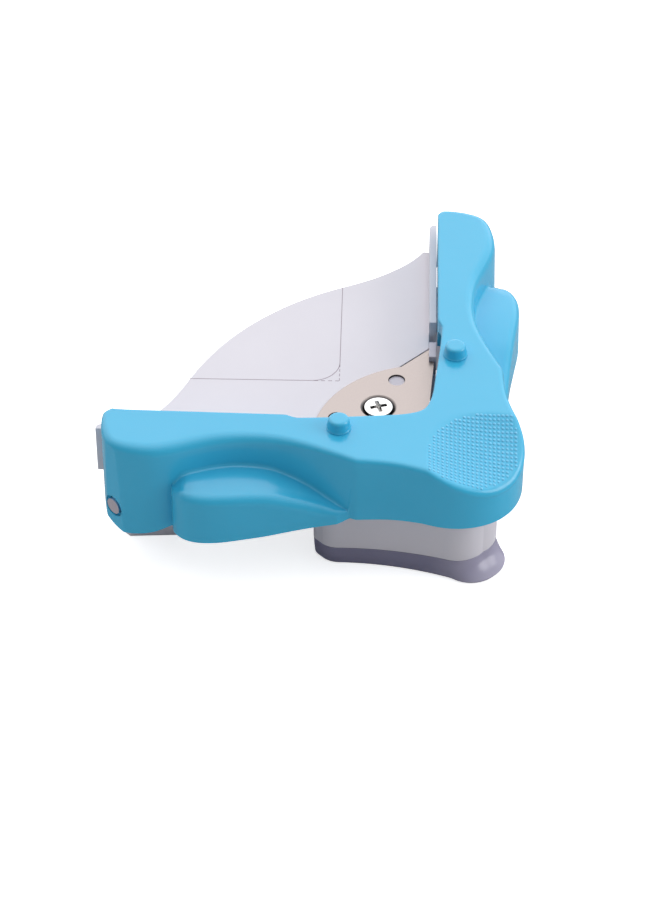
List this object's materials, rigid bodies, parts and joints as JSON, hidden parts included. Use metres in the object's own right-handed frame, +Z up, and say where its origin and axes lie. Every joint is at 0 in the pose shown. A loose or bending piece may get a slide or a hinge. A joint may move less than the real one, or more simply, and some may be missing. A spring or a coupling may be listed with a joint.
{
  "type": "corner rounder",
  "caption": "Hand press that rounds the corner of a sheet: a V-shaped sprung lever pivots at its arm ends and drives a curved blade past a steel die.",
  "frame": {"origin": "centre of the bounding box in plan, on the surface that the tool stands on", "axes": "+X along the lever's hinge line, +Y towards the side where paper goes in, +Z up"},
  "size_m": [0.0912, 0.0637, 0.0299],
  "materials": {
    "grey_abs": "fine satin moulding",
    "blue_abs": "satin gloss moulding with a dimpled thumb pad",
    "smoke_plastic": "smoky translucent moulding",
    "die_steel": "fine brushed plate",
    "natural_plastic": "milky moulding",
    "bright_zinc": "bright plated",
    "tool_steel": "ground",
    "black_plastic": "matt",
    "pin_steel": "turned",
    "spring_steel": "drawn wire"
  },
  "bodies": {
    "base": {"base": "grey_abs", "die_plate": "die_steel", "die_seat": "natural_plastic", "die_screw": "bright_zinc", "guide_post_left": "pin_steel", "guide_post_right": "pin_steel", "lever_spring_left": "spring_steel", "lever_spring_right": "spring_steel", "punch_spring": "spring_steel", "hinge_pin_left": "pin_steel", "hinge_pin_right": "pin_steel"},
    "lever": {"press_lever": "blue_abs", "stop_screw_left": "bright_zinc", "stop_screw_right": "bright_zinc"},
    "punch": {"punch_holder": "black_plastic", "punch_blade": "tool_steel", "punch_screw_left": "bright_zinc", "punch_screw_right": "bright_zinc"},
    "cover": {"chip_cover": "smoke_plastic"}
  },
  "joints": [
    {"name": "lever_press", "type": "hinge", "parent": "base", "child": "lever", "pos_m": [0, 0.01862, 0.0135], "axis": [1, 0, 0], "range_deg": [0, 6.5], "stiffness_Nm_per_rad": 0.6, "springref_deg": -3.44, "deforming": ["lever_spring_left", "lever_spring_right"]},
    {"name": "punch_slide", "type": "slide", "parent": "base", "child": "punch", "axis": [0, 0, -1], "range_m": [0, 0.004], "stiffness_N_per_m": 12, "springref_m": -0.001, "deforming": ["punch_spring"]},
    {"name": "cover_hinge", "type": "hinge", "parent": "base", "child": "cover", "pos_m": [0, -0.00097, 0.0024], "axis": [1, 0, 0], "range_deg": [0, 80]}
  ],
  "couplings": [
    {"joint": "punch_slide", "follows": "lever_press", "m_per_rad": 0.0342}
  ]
}
